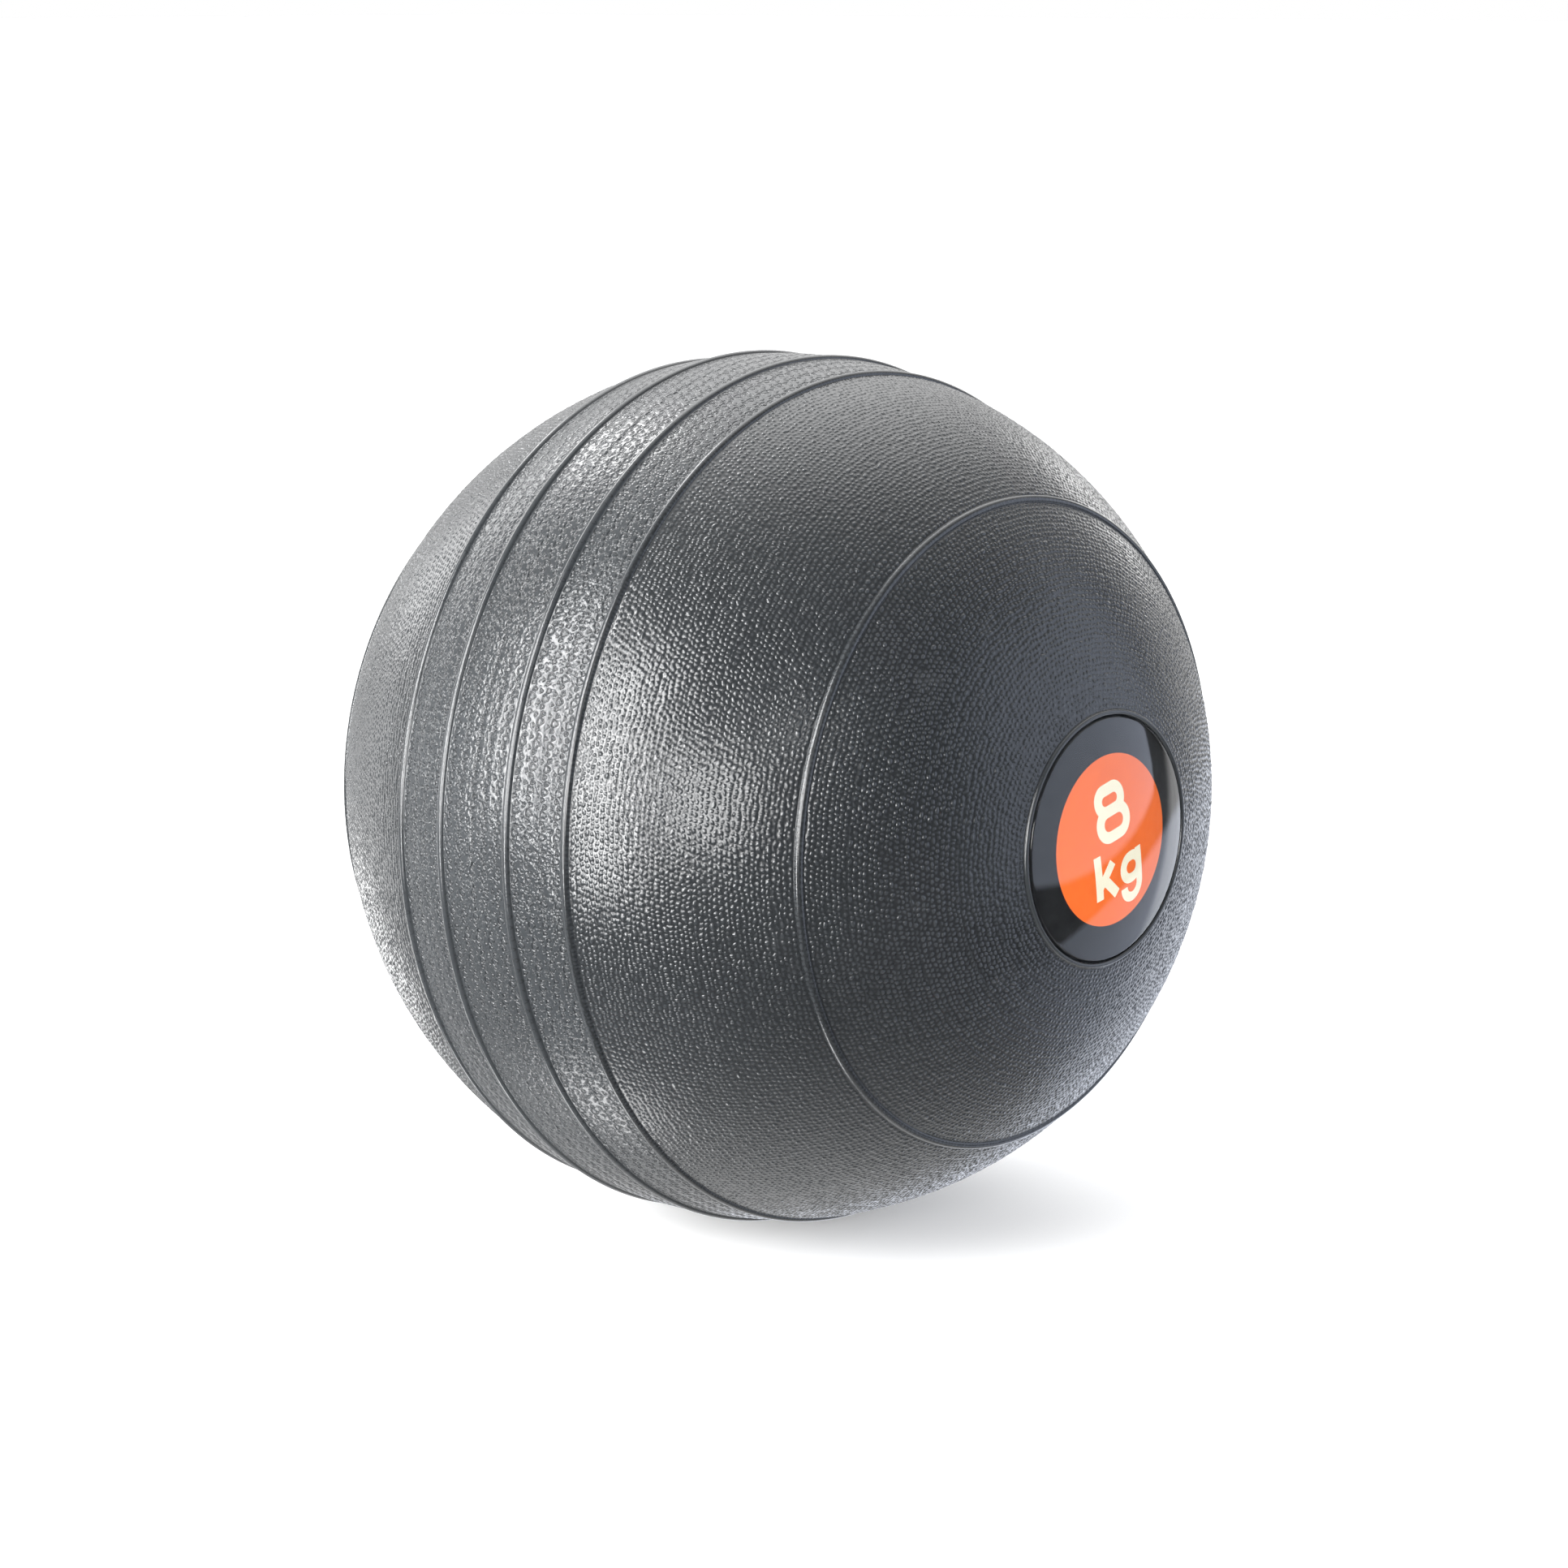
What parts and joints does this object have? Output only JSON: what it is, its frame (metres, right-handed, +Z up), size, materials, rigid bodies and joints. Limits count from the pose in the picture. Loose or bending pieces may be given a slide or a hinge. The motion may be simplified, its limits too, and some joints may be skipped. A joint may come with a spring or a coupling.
{
  "type": "medicine ball",
  "caption": "Round weighted exercise ball with raised ribs round a pebble-grained shell, a domed weight badge on each pole and a loose sand fill.",
  "frame": {"origin": "centre of the ball", "axes": "+Y along the mould axis from the front badge to the back badge, so the badge with the weight faces -Y; +Z up, +X to the right seen from the front"},
  "size_m": [0.2306, 0.229, 0.2306],
  "materials": {
    "shell_rubber": "satin",
    "plug_rubber": "matte",
    "iron_sand": "matte",
    "adhesive_foam": "matte",
    "badge_black": "gloss",
    "print_orange": "satin",
    "print_cream": "satin",
    "clear_resin": "gloss"
  },
  "bodies": {
    "ball": {"shell": "shell_rubber", "fill_plug": "plug_rubber", "front_badge_pad": "adhesive_foam", "front_badge_disc": "badge_black", "front_orange_print": "print_orange", "front_numeral": "print_cream", "front_unit_letters": "print_cream", "front_dome": "clear_resin", "back_badge_pad": "adhesive_foam", "back_badge_disc": "badge_black", "back_orange_print": "print_orange", "back_dome": "clear_resin"},
    "fill": {"sand_fill": "iron_sand"}
  },
  "joints": [
    {"name": "fill_roll", "type": "hinge", "parent": "ball", "child": "fill", "pos_m": [0, 0, 0], "axis": [0, 1, 0], "continuous": true}
  ]
}
